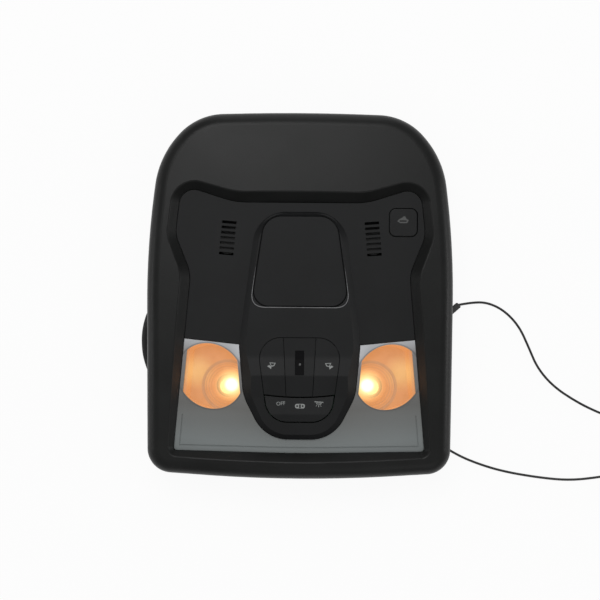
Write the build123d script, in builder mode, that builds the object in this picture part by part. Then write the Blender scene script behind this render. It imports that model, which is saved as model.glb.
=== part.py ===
"""Car dome light: a roof console with two reading lamps, push keys, a mode rocker and a roof button.

The part lies on its back, in millimetres. X runs across it, Y towards the windscreen and Z out of the
face.
Z = 0 is the flat back of the rear cover, and X = 0 is the plane that the two halves mirror about.
"""

import os
from math import asin, cos, degrees, pi, radians, sin, sqrt, tan

from build123d import *

os.makedirs("parts", exist_ok=True)

# Heights above the rest face
floor_height = 12.0
rim_rise = 8.0
panel_rise = 25.0
crest_rise = 9.0
ridge_rise = 5.2
rim_height = floor_height + rim_rise
panel_height = floor_height + panel_rise
crest_height = panel_height + crest_rise
ridge_height = panel_height + ridge_rise

# Bezel
body_half_width = 100.0
body_top = 119.9
body_bottom = -121.0
bezel_wall = 2.5
edge_round = 9.0
shoulder_drop = 12.0
shoulder_wall = 6.0
crown_radius_across = 15 * body_half_width
crown_radius_along = 20 * body_half_width
well_wall = 2.2
well_depth = 3.5
well_bottom = panel_height - well_depth
recess_slope = 40.0
lip_round = 1.2
least_round = 0.2

# Opening in the bezel, which the face panel and the lens fill
side_rim = 18.1
waist_rim = 28.5
opening_half = body_half_width - side_rim
waist_half = body_half_width - waist_rim
opening_top = 61.0
opening_bottom = -102.9
opening_gap = 0.4
seat_gap = 0.1
flange_reach = 1.8

# Face panel and its raised tongue
panel_wall = 2.5
skirt_wall = 2.0
flange_thickness = 2.2
panel_edge_middle = -35.6
panel_edge_side = -25.3
tongue_half_width = 0.395 * body_half_width
tongue_top = 54.8
tongue_bottom = -93.2
tongue_wall = 2.2
tongue_flank = 50.0
ridge_y = -51.8

# Slot grilles
slot_count = 7
slot_pitch = 3.4
slot_length = 9.4
slot_width = 1.8
slot_tilt = 4.5
slot_top_y = 47.7
grille_gap = 6.9
grille_x = tongue_half_width + grille_gap
grille_lean = 0.09

# Blank cover
cover_top = 51.8
cover_bottom = -6.9
cover_half_top = 0.592 * tongue_half_width
cover_half_bottom = 0.808 * tongue_half_width
cover_gap = 0.4
cover_rise = 2.6
cover_front = panel_height + cover_rise
cover_lip = 0.5

# Switch field
field_top = -26.9
field_bottom = -82.4
field_half_top = 0.714 * tongue_half_width
field_half_bottom = 0.527 * tongue_half_width
key_gap = 0.4
key_wall = 2.0
key_skirt_gap = 0.4
plate_half_top = 0.268 * tongue_half_width
plate_half_bottom = 0.218 * tongue_half_width
split_y = -65.8
split_radius = 170.0
split_gap = 0.9
pivot_clearance = 0.06
key_pivot_y = -33.0
pivot_sink = 2.5
key_pivot_height = panel_height - pivot_sink
key_pin_radius = 1.5
key_swing = 2.2
key_web_length = 6.0
rocker_gap = 0.8
rocker_pivot_height = panel_height - pivot_sink
rocker_web = 2.5
rocker_pin_radius = 1.3
window_width = 5.9
window_length = 16.0
window_y = -43.4

# Roof button
button_x = 0.817 * opening_half
button_y = 48.3
button_size = 18.1
button_corner = 4.1
button_gap = 0.4
button_travel = 1.5
button_rise = 0.6
button_front = panel_height + button_rise

# Lens, reflectors and bulbs
lens_sink = 0.6
lens_front = panel_height - lens_sink
lens_wall = 2.5
lens_drop = 2.0
lens_window_radius = 21.3
lens_window_y = -52.8
lens_border = 3.3
window_recess = 0.3
groove_inset = 3.4
groove_width = 0.8
groove_depth = 0.6
lens_window_x = 0.713 * opening_half
bulb_x = 0.574 * opening_half
bulb_y = -59.4
reflector_wall = 1.6
reflector_rise = 10.0
reflector_floor = floor_height + reflector_rise
reflector_slope = 12.0
cup_tongue_gap = 2.3
ring_radius = 16.4
ring_steps = 5
ring_margin = 0.6
cup_inset = 1.3
cup_reach = 40.0
ring_width = 1.7
ring_depth = 1.2
bulb_radius = 5.0
bulb_tip_gap = 1.6
holder_radius = 7.5
holder_clearance = 0.2

# Housing, boards and rear cover
housing_reach = 2.6
housing_wall = 2.0
board_sink = 18.0
board_height = panel_height - board_sink
board_thickness = 1.6
board_half_width = 0.62 * tongue_half_width
carrier_sink = 10.0
carrier_height = panel_height - carrier_sink
carrier_thickness = 2.0
rear_inset = 4.0
rear_round = 3.0
rear_wall = 2.0
switch_size = 6.2
switch_body = 3.5
switch_height = 5.0

# Fasteners and clips
screw_radius = 1.5
screw_head_radius = 3.2
screw_head_height = 2.2
boss_radius = 4.0
boss_sink = 11.0
boss_bottom = panel_height - boss_sink
boss_inset = 11.5
boss_y = 9.0
boss_rise = 24.0
clip_thickness = 0.6
clip_width = 10.0
clip_gap = 0.2
clip_grip = 4.0
clip_reach = 10.5
clip_spread = 3.8
clip_bend = 0.9
tower_thickness = 2.2
tower_width = 14.0
tower_drop = 3.0
tower_bottom = floor_height - tower_drop
tower_inset = 10.0
tower_top_y = 47.0
tower_foot_y = -84.0

screw_clearance = 0.05
screw_depth = 8.5
screw_end_gap = 0.5
screw_head_clearance = 0.3
screw_sink = 0.4
ear_plate = 2.2
cover_boss_height = 6.0
cover_screw_inset = 20.0
cover_foot_inset = 16.0
cover_screw_top_y = 50.0
cover_screw_foot_y = -89.0
blind_wall = 1.5
screw_head_round = 0.8

# Ledges, collars, posts and small clearances
cover_thickness = 2.0
cover_edge_round = 0.6
ledge_wall = 1.5
ledge_width = 2.0
ledge_thickness = 1.3
leg_spacing = 18.0
leg_width = 6.0
leg_thickness = 1.5
leg_clearance = 0.3
hook_reach = 1.1
hook_height = 1.2
collar_wall = 1.5
collar_depth = 4.0
boot_radius = 6.5
mic_drop = 4.0
boot_clearance = 0.1
boot_depth = 8.0
mic_radius = 4.85
mic_height = 4.8
post_radius = 2.0
post_gap = 0.3
stake_radius = 1.0
stake_clearance = 0.05
stake_height = 0.8
board_corner = 3.0
board_margin = 6.0
board_post_inset = 4.5
roof_board_sink = 13.4
roof_board_top = panel_height - roof_board_sink
roof_board_width = 18.0
roof_board_length = 31.0
roof_post_reach = 13.0
roof_post_side = 4.0
lens_bend_y = -80.0
lens_bend = 60.0
carrier_inset = 1.6
tab_half = 4.0
ear_thickness = 2.0
ear_margin = 1.2
ear_offset = 1.7
pin_reach = 2.5
plunger_hole = 6.0
plunger_size = 3.0
blade_hole = 8.0
blade_width = 2.5
blade_depth = 3.0
blade_gap = 0.8
switch_gap = 0.2
switch_plunger_radius = 1.75
mode_switch_width = 16.0
mode_switch_depth = 9.0
mode_switch_height = 5.8
mode_slot_width = 7.0
mode_slot_depth = 3.6
window_gap = 0.1
window_flange = 1.0
button_edge_round = 0.6
button_stop_gap = 0.3
button_flange = 1.2
header_y = -44.0
header_width = 20.0
header_depth = 8.0
header_height = 9.5
reflector_gap = 0.4
base_thickness = 4.5
holder_rise = 4.0
holder_top = floor_height + holder_rise
holder_base = 2.5
holder_gap = 1.0
holder_flange_radius = 10.0
holder_flange = 2.5
lug_radius = 9.3
lug_clearance = 0.4
lug_width = 4.0
lug_height = 1.2
lug_room = 1.8
rear_chamfer = 1.0
outlet_length = 36.0
outlet_wall = 1.2

# Wires
plug_reach = 6.0
plug_end_x = body_half_width + plug_reach
plug_end_y = -4.9
plug_height = floor_height / 2 + rear_wall / 2
plug_angle = 41.0
plug_length = 25.0
plug_bare = 13.0
plug_width = 4.0
plug_depth = 6.0
plug_clearance = 0.1
plug_chamfer = 0.5
grommet_height = floor_height / 2
grommet_neck = 3.2
grommet_flange = 4.6
grommet_thickness = 1.5
grommet_stand = 0.45
harness_top_y = 4.0
harness_foot_y = -64.0
lower_lead_y = -91.0
wire_diameter = 1.6
harness_diameter = 5.0
coil_radius = 8.8
coil_turns = 2.25
coil_height = 0.9
tie_thickness = 0.7
tie_width = 2.5
tie_gap = 0.15
tail_slope = 8.0
tail_length = 14.0
terminal_length = 12.0
terminal_width = 5.0
terminal_depth = 4.0


def outline(corners, grow=0.0, least=least_round):
    """Face that is the same on both sides, from its right-hand corners (x, y, rounding), top to bottom.

    The edge moves outwards by the growth, or inwards where that is below zero, and the roundings follow
    it down to the least one.
    """
    left = [(-x, y, rounding) for x, y, rounding in corners if x > 0]
    closed = left + corners[::-1]
    places, roundings = [], []
    for before, here, after in zip(closed[-1:] + closed[:-1], closed, closed[1:] + closed[:1]):
        arriving = Vector(here[0] - before[0], here[1] - before[1]).normalized()
        leaving = Vector(after[0] - here[0], after[1] - here[1]).normalized()
        outwards = (arriving + leaving).rotate(Axis.Z, -90) / (1 + arriving.dot(leaving))
        outer_bend = 1 if arriving.cross(leaving).Z > 0 else -1
        places.append((here[0] + grow * outwards.X, here[1] + grow * outwards.Y))
        roundings.append(max(here[2] + grow * outer_bend, least))
    with BuildSketch() as shape:
        with BuildLine():
            FilletPolyline(*places, radius=roundings, close=True)
        make_face()
    return shape.sketch


def grown(shape, amount):
    """The same face with its edge moved outwards, or inwards where the amount is below zero."""
    return offset(shape, amount=amount, mode=Mode.PRIVATE)


def prism(shape, low, high):
    """Upright solid of a face between two heights."""
    with BuildPart() as body:
        with BuildSketch(Plane.XY.offset(low)):
            add(shape)
        extrude(amount=high - low)
    return body.part


def flared(shape, low, height, angle):
    """Solid that starts on a face and widens upwards by the angle, or narrows where it is below zero."""
    with BuildPart() as body:
        with BuildSketch(Plane.XY.offset(low)):
            add(shape)
        extrude(amount=height, taper=-angle)
    return body.part


def under_profile(points, roundings, half_width):
    """Solid under a side profile of (y, z) points, as wide as twice the half width."""
    with BuildPart() as body:
        with BuildSketch(Plane.YZ):
            with BuildLine():
                front = FilletPolyline(*points, radius=roundings)
                Polyline(front @ 1, (points[-1][0], 0), (points[0][0], 0), front @ 0)
            make_face()
        extrude(amount=half_width, both=True)
    return body.part


def lowered(points, drop):
    """The same side profile, moved down."""
    return [(y, z - drop) for y, z in points]


def under_crown(drop):
    """Solid under the bezel's crowned front, with that front moved inwards by the drop."""
    across = crown_radius_across - drop
    along = crown_radius_along - drop
    half_span = 1.2 * body_half_width
    edge = along - across + sqrt(across**2 - half_span**2)
    deep = along - crest_height
    swing = degrees(asin(1.2 * body_top / along))
    centre = (0, 0, crest_height - crown_radius_along)
    tilt = radians(swing)
    with BuildPart() as body:
        with BuildSketch(Plane(centre, x_dir=(1, 0, 0), z_dir=(0, -cos(tilt), -sin(tilt)))):
            with BuildLine():
                ThreePointArc((-half_span, edge), (0, along), (half_span, edge))
                Polyline((half_span, edge), (half_span, deep), (-half_span, deep), (-half_span, edge))
            make_face()
        revolve(axis=Axis(centre, (-1, 0, 0)), revolution_arc=2 * swing)
    return body.part


# Outlines that several pieces share
waist_y = opening_top - 0.568 * opening_half
bezel_corners = [
    (0, body_top, 15 * body_half_width),
    (0.683 * body_half_width, body_top - 0.019 * body_half_width, 0.4 * body_half_width),
    (0.927 * body_half_width, body_top - 0.295 * body_half_width, 0.6 * body_half_width),
    (body_half_width, body_top - 0.865 * body_half_width, 5.6 * body_half_width),
    (0.988 * body_half_width, body_bottom + 0.06 * body_half_width, 0.16 * body_half_width),
    (0, body_bottom, 10 * body_half_width),
]
opening_corners = [
    (0.601 * waist_half, opening_top, 0.7 * waist_half),
    (0.952 * opening_half, opening_top + 0.137 * opening_half, 0.122 * opening_half),
    (0.996 * opening_half, opening_top - 0.263 * opening_half, 0.244 * opening_half),
    (waist_half, waist_y, 0.35 * waist_half),
    (opening_half, opening_bottom + 0.021 * opening_half, 0.03 * opening_half),
    (0, opening_bottom, 11 * opening_half),
]
tongue_corners = [
    (0.722 * tongue_half_width, tongue_top, 0.557 * tongue_half_width),
    (tongue_half_width, tongue_bottom + 1.6 * tongue_half_width, 1.52 * tongue_half_width),
    (0.919 * tongue_half_width, tongue_bottom + 0.714 * tongue_half_width, 0.76 * tongue_half_width),
    (0.557 * tongue_half_width, tongue_bottom, 0.608 * tongue_half_width),
]
cover_corners = [
    (cover_half_top, cover_top, 0.556 * cover_half_top),
    (cover_half_bottom, cover_bottom, 0.313 * cover_half_bottom),
]
field_corners = [
    (field_half_top, field_top, 0.496 * field_half_top),
    (field_half_bottom, field_bottom, 0.721 * field_half_bottom),
]

bezel_outline = outline(bezel_corners)
opening_outline = outline(opening_corners)
tongue_outline = outline(tongue_corners)
cover_outline = outline(cover_corners)
field_outline = outline(field_corners)

# Front profiles along the middle, as (y, z) points
tongue_profile = [
    (tongue_top + 5, panel_height + 3.0),
    (ridge_y + 12, ridge_height - 1.6),
    (ridge_y, ridge_height),
    (ridge_y - 14, ridge_height - 1.4),
    (tongue_bottom - 5, ridge_height - 3.0),
]
tongue_roundings = [20, 5, 20]
rocker_profile = [
    (split_y + 6, ridge_height - 1.5),
    (field_bottom + 5, ridge_height - 0.5),
    (field_bottom - 2, ridge_height - 2.6),
]

with BuildSketch() as upper_zone:
    with BuildLine():
        Polyline(
            (0, panel_edge_middle),
            (body_half_width, panel_edge_side),
            (body_half_width, body_top),
            (-body_half_width, body_top),
            (-body_half_width, panel_edge_side),
            (0, panel_edge_middle),
        )
    make_face()

# Bezel: a crowned shell with rounded edges and a sloped recess, screw bosses and clip towers behind
tower_x = body_half_width - tower_inset
tower_places = [(side * tower_x, y) for side in (-1, 1) for y in (tower_top_y, tower_foot_y)]
boss_places = [(side * (body_half_width - boss_inset), boss_y) for side in (-1, 1)]
boss_places += [(side * 0.46 * body_half_width, opening_top + boss_rise) for side in (-1, 1)]
recess_height = 1.5 * crest_rise

with BuildPart() as bezel_block:
    add(prism(bezel_outline, rim_height, crest_height + 5))
    add(under_crown(0), mode=Mode.INTERSECT)
    fillet(bezel_block.faces().sort_by(Axis.Z)[-1].outer_wire().edges(), edge_round)

with BuildPart() as bezel_hollow:
    add(prism(outline(bezel_corners, -bezel_wall), rim_height, crest_height - shoulder_drop))
    add(prism(outline(bezel_corners, -shoulder_wall), rim_height, crest_height))
    add(under_crown(bezel_wall), mode=Mode.INTERSECT)
    well_outline = outline(opening_corners, well_wall)
    add(prism(well_outline, well_bottom, panel_height), mode=Mode.SUBTRACT)
    add(flared(well_outline, panel_height, recess_height, recess_slope), mode=Mode.SUBTRACT)

with BuildPart() as bezel_fittings:
    with BuildSketch(Plane.XY.offset(boss_bottom)):
        with Locations(*boss_places):
            Circle(boss_radius)
    extrude(amount=crest_height)
    with BuildSketch(Plane.XY.offset(tower_bottom)):
        with Locations(*tower_places):
            Rectangle(tower_thickness, tower_width)
    extrude(amount=crest_height)
    add(under_crown(bezel_wall / 2), mode=Mode.INTERSECT)
    with Locations(*[(x, y, boss_bottom) for x, y in boss_places]):
        Cylinder(
            screw_radius + screw_clearance,
            screw_depth,
            align=(Align.CENTER, Align.CENTER, Align.MIN),
            mode=Mode.SUBTRACT,
        )

with BuildPart() as bezel:
    add(bezel_block.part)
    add(bezel_hollow.part, mode=Mode.SUBTRACT)
    add(prism(opening_outline, rim_height, panel_height), mode=Mode.SUBTRACT)
    add(flared(opening_outline, panel_height, recess_height, recess_slope), mode=Mode.SUBTRACT)
    crown_face = bezel.faces().sort_by(Axis.Z)[-1]
    fillet(crown_face.inner_wires()[0].edges(), lip_round)
    add(bezel_fittings.part)
bezel.part.label = "bezel"
export_step(bezel.part, "parts/bezel.step")

# Face panel: a plate with a skirt and a flange, and a raised tongue for the cover and the switches
flange_top = well_bottom - seat_gap
flange_bottom = flange_top - flange_thickness
panel_back = panel_height - panel_wall
lens_back = lens_front - lens_wall
panel_shape = outline(opening_corners, -opening_gap) & upper_zone.sketch
panel_inside = outline(opening_corners, -opening_gap - skirt_wall)
flange_shape = (outline(opening_corners, flange_reach) & upper_zone.sketch) - panel_inside
tongue_inside = outline(tongue_corners, -tongue_wall)
ledge_top = cover_front - cover_thickness - seat_gap
ledge_shape = outline(cover_corners, cover_gap + ledge_wall) - outline(cover_corners, -ledge_width)
button_hole = button_size + 2 * button_gap
grille_middle_y = slot_top_y - slot_pitch * (slot_count - 1) / 2
grille_middle_x = grille_x + grille_lean * (slot_top_y - grille_middle_y)
mic_places = [(side * grille_middle_x, grille_middle_y - mic_drop) for side in (-1, 1)]
roof_board_posts = [
    (button_x - roof_post_side, button_y - roof_post_reach),
    (button_x + roof_post_side, button_y - roof_post_reach),
    (button_x, button_y + roof_post_reach),
]

with BuildPart() as tongue:
    add(flared(tongue_outline, panel_height, ridge_height - panel_height + 3, -tongue_flank))
    add(under_profile(tongue_profile, tongue_roundings, tongue_half_width), mode=Mode.INTERSECT)
    add(prism(tongue_outline, lens_back, panel_height))

with BuildPart() as tongue_hollow:
    add(flared(tongue_inside, panel_height, ridge_height - panel_height + 3, -tongue_flank))
    add(
        under_profile(lowered(tongue_profile, tongue_wall), tongue_roundings, tongue_half_width),
        mode=Mode.INTERSECT,
    )
    add(prism(tongue_inside, lens_back, panel_height))

with BuildPart() as face_panel:
    add(prism(panel_shape, panel_back, panel_height))
    add(prism(panel_shape - panel_inside, flange_bottom, panel_height))
    add(prism(flange_shape, flange_bottom, flange_top))
    add(tongue.part)
    add(tongue_hollow.part, mode=Mode.SUBTRACT)
    add(prism(ledge_shape, ledge_top - ledge_thickness, panel_height + 1))
    add(prism(outline(cover_corners, cover_gap), ledge_top, crest_height), mode=Mode.SUBTRACT)
    pocket_face = face_panel.faces().filter_by(lambda face: face.inner_wires()).sort_by(Axis.Z)[-1]
    chamfer(pocket_face.inner_wires()[0].edges(), cover_lip)
    add(prism(field_outline, flange_bottom, crest_height), mode=Mode.SUBTRACT)
    with BuildSketch(Plane.XY.offset(panel_back)):
        with Locations((button_x, button_y)):
            RectangleRounded(
                button_hole + 2 * collar_wall, button_hole + 2 * collar_wall, button_corner + collar_wall
            )
        with Locations(*mic_places):
            Circle(boot_radius + boot_clearance + collar_wall)
            Circle(boot_radius + boot_clearance, mode=Mode.SUBTRACT)
    extrude(amount=-collar_depth)
    with BuildSketch(Plane.XY.offset(panel_height)):
        with Locations((button_x, button_y)):
            RectangleRounded(button_hole, button_hole, button_corner + button_gap)
        for side in (-1, 1):
            for row in range(slot_count):
                drop = row * slot_pitch
                with Locations((side * (grille_x + grille_lean * drop), slot_top_y - drop)):
                    Rectangle(slot_length, slot_width, rotation=side * slot_tilt)
    extrude(amount=-panel_wall - collar_depth, mode=Mode.SUBTRACT)
    with BuildSketch(Plane.XY.offset(panel_back)):
        with Locations(*roof_board_posts):
            Circle(post_radius)
    extrude(amount=roof_board_top - panel_back)
    with BuildSketch(Plane.XY.offset(roof_board_top)):
        with Locations(*roof_board_posts):
            Circle(stake_radius)
    extrude(amount=-board_thickness - stake_height)
face_panel.part.label = "face_panel"
export_step(face_panel.part, "parts/face_panel.step")

# Blank cover: a flat plate that drops onto the tongue's ledge, with four hooked legs
with BuildPart() as blank_cover:
    add(prism(cover_outline, cover_front - cover_thickness, cover_front))
    fillet(blank_cover.faces().sort_by(Axis.Z)[-1].edges(), cover_edge_round)
    leg_top = cover_front - cover_thickness
    hook_top = ledge_top - ledge_thickness - seat_gap
    for edge_y, outwards in ((cover_top, 1), (cover_bottom, -1)):
        leg_y = edge_y - outwards * (ledge_width + leg_clearance + leg_thickness / 2)
        with Locations((-leg_spacing / 2, leg_y, leg_top), (leg_spacing / 2, leg_y, leg_top)):
            Box(
                leg_width,
                leg_thickness,
                leg_top - hook_top + hook_height,
                align=(Align.CENTER, Align.CENTER, Align.MAX),
            )
        hook_y = leg_y + outwards * (leg_thickness + hook_reach) / 2
        with Locations((-leg_spacing / 2, hook_y, hook_top), (leg_spacing / 2, hook_y, hook_top)):
            Box(leg_width, hook_reach, hook_height, align=(Align.CENTER, Align.CENTER, Align.MAX))
blank_cover.part.label = "blank_cover"
export_step(blank_cover.part, "parts/blank_cover.step")

# Lens: a U-shaped skirted plate round the tongue, with two round windows sunk in its front
lens_profile = [(0, lens_front), (lens_bend_y, lens_front), (opening_bottom - 3, lens_front - lens_drop)]
lens_block = grown(upper_zone.sketch, opening_gap) + outline(tongue_corners, opening_gap)
lens_shape = outline(opening_corners, -opening_gap) - lens_block
lens_inside = outline(opening_corners, -opening_gap - skirt_wall)
lens_flange = outline(opening_corners, flange_reach) - lens_block - lens_inside

lens_window_places = [(side * lens_window_x, lens_window_y) for side in (-1, 1)]

with BuildSketch() as lens_windows:
    with Locations(*lens_window_places):
        Circle(lens_window_radius)
    add(grown(lens_shape, -lens_border), mode=Mode.INTERSECT)

with BuildPart() as lens_hollow:
    add(prism(lens_inside, flange_bottom, crest_height))
    lens_underside = lowered(lens_profile, lens_wall)
    add(under_profile(lens_underside, [lens_bend], body_half_width), mode=Mode.INTERSECT)

with BuildSketch() as groove_shape:
    add(outline(opening_corners, -groove_inset) - outline(opening_corners, -groove_inset - groove_width))
    with Locations((0, lens_window_y - lens_window_radius - groove_inset)):
        Rectangle(
            2 * body_half_width,
            2 * body_half_width,
            align=(Align.CENTER, Align.MAX),
            mode=Mode.INTERSECT,
        )

with BuildPart() as lens_groove:
    add(prism(groove_shape.sketch, flange_bottom, crest_height))
    groove_floor = lowered(lens_profile, groove_depth)
    add(under_profile(groove_floor, [lens_bend], body_half_width), mode=Mode.SUBTRACT)

with BuildPart() as lens:
    add(prism(lens_shape, flange_bottom, crest_height))
    add(under_profile(lens_profile, [lens_bend], body_half_width), mode=Mode.INTERSECT)
    add(lens_hollow.part, mode=Mode.SUBTRACT)
    add(prism(lens_flange, flange_bottom, flange_top))
    add(prism(lens_windows.sketch, lens_front - window_recess, crest_height), mode=Mode.SUBTRACT)
    add(lens_groove.part, mode=Mode.SUBTRACT)
lens.part.label = "lens"
export_step(lens.part, "parts/lens.step")

# Key carrier: a plate under the switch field, with ears for the key and rocker pins, posts and legs
carrier_top = carrier_height + carrier_thickness
board_top = board_height + board_thickness
key_pin_ends = (plate_half_top - 0.4, field_half_top - 3.2)
plunger_x = (plate_half_bottom + field_half_bottom) / 2 + 2.3
plunger_y = key_pivot_y - 24.0
rocker_y = (split_y + field_bottom) / 2
rocker_head = split_y - split_gap / 2
rocker_foot = field_bottom + rocker_gap
carrier_shape = outline(field_corners, -carrier_inset)
key_ear_top = key_pivot_height + key_pin_radius + ear_margin
key_skirt_bottom = key_ear_top + key_skirt_gap
tongue_post_x = field_half_top + 1.3
tongue_post_y = key_pivot_y + 2.5
tongue_post_places = [(-tongue_post_x, tongue_post_y), (tongue_post_x, tongue_post_y)]
foot_post_y = field_bottom - 3.8
leg_places = [(-19, -38.5), (19, -38.5), (-13, -76), (13, -76)]


def profile_height(points, y):
    """Height of a side profile at y, along its straight runs."""
    for (y0, z0), (y1, z1) in zip(points, points[1:]):
        if y1 <= y <= y0:
            return z0 + (z1 - z0) * (y0 - y) / (y0 - y1)
    raise ValueError("y is beyond the profile")


with BuildPart() as key_carrier:
    add(prism(carrier_shape, carrier_height, carrier_top))
    with BuildSketch(Plane.XY.offset(carrier_height)):
        with Locations((0, tongue_post_y)):
            Rectangle(2 * (tongue_post_x + tab_half), 2 * tab_half)
        with Locations((0, foot_post_y)):
            Rectangle(2 * tab_half, 2 * tab_half + 4)
    extrude(amount=carrier_thickness)
    for side in (-1, 1):
        for end, inwards in ((key_pin_ends[0], 1), (key_pin_ends[1], -1)):
            with Locations((side * (end + inwards * ear_thickness / 2), key_pivot_y, carrier_top)):
                Box(
                    ear_thickness,
                    2 * (key_pin_radius + ear_margin),
                    key_ear_top - carrier_top,
                    align=(Align.CENTER, Align.CENTER, Align.MIN),
                )
    for ear_y in (rocker_head + ear_offset, rocker_foot - ear_offset):
        with Locations((0, ear_y, carrier_top)):
            Box(
                2 * (rocker_pin_radius + ear_margin),
                ear_thickness,
                rocker_pivot_height + rocker_pin_radius + ear_margin - carrier_top,
                align=(Align.CENTER, Align.CENTER, Align.MIN),
            )
    with Locations((0, key_pivot_y, key_pivot_height)):
        Cylinder(
            key_pin_radius + pivot_clearance, 2 * field_half_top, rotation=(0, 90, 0), mode=Mode.SUBTRACT
        )
    with Locations((0, rocker_y, rocker_pivot_height)):
        Cylinder(rocker_pin_radius + pivot_clearance, 30, rotation=(90, 0, 0), mode=Mode.SUBTRACT)
    with BuildSketch(Plane.XY.offset(carrier_height)):
        with Locations((-plunger_x, plunger_y), (plunger_x, plunger_y)):
            Rectangle(plunger_hole, plunger_hole)
        with Locations((0, rocker_y)):
            Rectangle(blade_hole, blade_hole)
        with Locations((0, window_y)):
            Rectangle(window_width, window_length - 4)
    extrude(amount=carrier_thickness, mode=Mode.SUBTRACT)
    with BuildSketch(Plane.XY.offset(board_top)):
        with Locations(*leg_places):
            Circle(post_radius)
    extrude(amount=carrier_height - board_top)
    for x, y in tongue_post_places + [(0, foot_post_y)]:
        post_top = profile_height(tongue_profile, y) - tongue_wall - post_gap
        with Locations((x, y, carrier_top)):
            Cylinder(post_radius, post_top - carrier_top, align=(Align.CENTER, Align.CENTER, Align.MIN))
key_carrier.part.label = "key_carrier"
export_step(key_carrier.part, "parts/key_carrier.step")

# Push keys: ridged caps that hang on a pin at the top and press a switch at the bottom
with BuildSketch() as split_disc:
    with Locations((0, split_y + split_radius)):
        Circle(split_radius)

plate_lean = (plate_half_top - plate_half_bottom) / (field_top - split_y)
plunger_drop = (key_pivot_y - plunger_y) * sin(radians(key_swing))
for name, side in (("left_key", -1), ("right_key", 1)):
    with BuildSketch() as key_zone:
        with BuildLine():
            Polyline(
                (side * (plate_half_top + key_gap / 2), field_top),
                (side * (plate_half_bottom - plate_lean * 5 + key_gap / 2), split_y - 5),
                (side * body_half_width, split_y - 5),
                (side * body_half_width, field_top),
                close=True,
            )
        make_face()
        add(outline(field_corners, -key_gap), mode=Mode.INTERSECT)
        add(grown(split_disc.sketch, -split_gap / 2), mode=Mode.INTERSECT)
    with BuildPart() as key_hollow:
        add(prism(grown(key_zone.sketch, -key_wall), key_skirt_bottom, crest_height))
        add(
            under_profile(lowered(tongue_profile, key_wall), tongue_roundings, body_half_width),
            mode=Mode.INTERSECT,
        )
    with BuildPart() as key:
        add(prism(key_zone.sketch, key_skirt_bottom, crest_height))
        add(under_profile(tongue_profile, tongue_roundings, body_half_width), mode=Mode.INTERSECT)
        add(key_hollow.part, mode=Mode.SUBTRACT)
        pin_middle = side * sum(key_pin_ends) / 2
        pin_length = key_pin_ends[1] - key_pin_ends[0]
        with Locations((pin_middle, key_pivot_y, key_pivot_height)):
            Cylinder(key_pin_radius, pin_length, rotation=(0, 90, 0))
            Box(
                key_web_length,
                2 * key_pin_radius,
                ridge_height - 1.6 - key_wall / 2 - key_pivot_height,
                align=(Align.CENTER, Align.CENTER, Align.MIN),
            )
        plunger_foot = board_top + switch_height + plunger_drop + switch_gap
        with Locations((side * plunger_x, plunger_y, plunger_foot)):
            Box(
                plunger_size,
                plunger_size,
                ridge_height - 0.8 - key_wall / 2 - plunger_foot,
                align=(Align.CENTER, Align.CENTER, Align.MIN),
            )
    key.part.label = name
    export_step(key.part, f"parts/{name}.step")

# Centre plate between the keys, on two legs, with a dark window set in it
with BuildSketch() as plate_zone:
    with BuildLine():
        Polyline(
            (plate_half_top - key_gap / 2, field_top),
            (plate_half_bottom - plate_lean * 5 - key_gap / 2, split_y - 5),
            (-plate_half_bottom + plate_lean * 5 + key_gap / 2, split_y - 5),
            (-plate_half_top + key_gap / 2, field_top),
            close=True,
        )
    make_face()
    add(outline(field_corners, -key_gap), mode=Mode.INTERSECT)
    add(grown(split_disc.sketch, -split_gap / 2), mode=Mode.INTERSECT)

with BuildPart() as plate_underside:
    add(under_profile(lowered(tongue_profile, key_wall), tongue_roundings, body_half_width))

with BuildPart() as centre_plate:
    add(prism(plate_zone.sketch, carrier_top, crest_height))
    add(under_profile(tongue_profile, tongue_roundings, body_half_width), mode=Mode.INTERSECT)
    add(plate_underside.part, mode=Mode.SUBTRACT)
    with BuildSketch(Plane.XY.offset(carrier_top)):
        with Locations((0, window_y)):
            Rectangle(window_width, window_length)
    extrude(amount=crest_height, mode=Mode.SUBTRACT)
    for leg_y in (field_top - 4.5, split_y + 6.5):
        with Locations((0, leg_y, carrier_top)):
            leg_length = profile_height(tongue_profile, leg_y) - key_wall / 2 - carrier_top
            Cylinder(post_radius, leg_length, align=(Align.CENTER, Align.CENTER, Align.MIN))
centre_plate.part.label = "centre_plate"
export_step(centre_plate.part, "parts/centre_plate.step")

with BuildPart() as sensor_window:
    with BuildSketch(Plane.XY.offset(carrier_top)):
        with Locations((0, window_y)):
            Rectangle(window_width - 2 * window_gap, window_length - 2 * window_gap)
    extrude(amount=crest_height)
    add(
        under_profile(lowered(tongue_profile, window_recess), tongue_roundings, body_half_width),
        mode=Mode.INTERSECT,
    )
    add(plate_underside.part, mode=Mode.SUBTRACT)
    flange_front = profile_height(tongue_profile, ridge_y + 12) - key_wall - window_gap
    with BuildSketch(Plane.XY.offset(flange_front)):
        with Locations((0, window_y)):
            Rectangle(window_width + 2, window_length + 2)
    extrude(amount=-window_flange)
    with BuildSketch(Plane.XY.offset(flange_front)):
        with Locations((0, window_y)):
            Rectangle(window_width - 2 * window_gap, window_length - 2 * window_gap)
    extrude(amount=key_wall)
sensor_window.part.label = "sensor_window"
export_step(sensor_window.part, "parts/sensor_window.step")

# Mode rocker: a cap that tips about a pin along its middle and moves a blade in its switch
rocker_shape = outline(field_corners, -rocker_gap) - grown(split_disc.sketch, split_gap / 2)
rocker_roundings = [6]
with BuildPart() as rocker_hollow:
    add(prism(grown(rocker_shape, -key_wall), rocker_pivot_height - 1.5, crest_height))
    add(
        under_profile(lowered(rocker_profile, key_wall), rocker_roundings, body_half_width),
        mode=Mode.INTERSECT,
    )

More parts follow.
